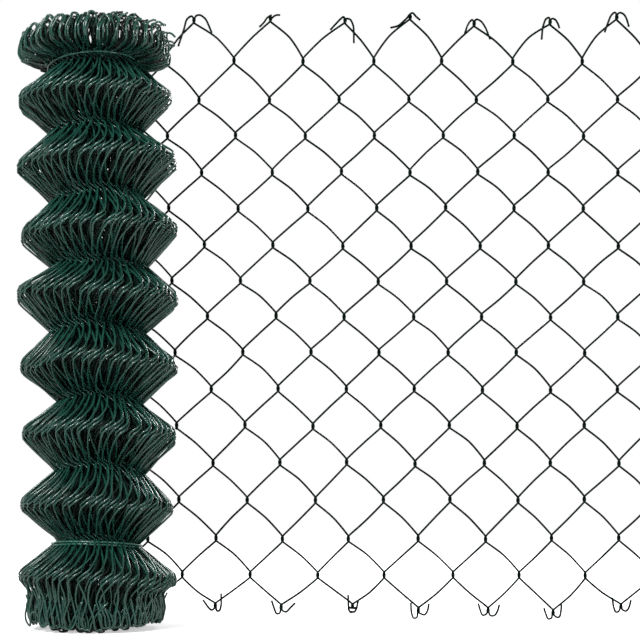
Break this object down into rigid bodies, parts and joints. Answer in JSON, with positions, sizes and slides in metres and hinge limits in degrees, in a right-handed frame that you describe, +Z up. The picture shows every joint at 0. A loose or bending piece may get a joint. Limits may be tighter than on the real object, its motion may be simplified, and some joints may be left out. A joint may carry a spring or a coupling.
{
  "type": "roll of chain-link wire fencing",
  "caption": "Roll of green PVC-coated chain-link fencing standing on end, pressed into concertina folds, wire-tied, its free end unrolled flat to one side.",
  "frame": {"origin": "on the floor, at the middle of the footprint of the roll and its unrolled stretch; the roll's axis stands 318 mm to -X of it", "axes": "+Z up along the roll's axis, +X along the unrolled stretch away from the roll, -Y towards the side the picture was taken from"},
  "size_m": [0.8415, 0.2152, 0.8234],
  "materials": {
    "mesh_coating": "satin",
    "tie_coating": "satin"
  },
  "bodies": {
    "root": {"mesh_roll": "mesh_coating", "tie_wire_upper": "tie_coating", "tie_wire_lower": "tie_coating", "spiral_wire_01": "mesh_coating", "spiral_wire_02": "mesh_coating", "spiral_wire_03": "mesh_coating", "spiral_wire_04": "mesh_coating", "spiral_wire_05": "mesh_coating", "spiral_wire_06": "mesh_coating", "spiral_wire_07": "mesh_coating", "spiral_wire_08": "mesh_coating", "spiral_wire_09": "mesh_coating", "spiral_wire_10": "mesh_coating", "spiral_wire_11": "mesh_coating", "spiral_wire_12": "mesh_coating", "spiral_wire_13": "mesh_coating", "spiral_wire_14": "mesh_coating", "spiral_wire_15": "mesh_coating", "spiral_wire_16": "mesh_coating"}
  },
  "joints": []
}
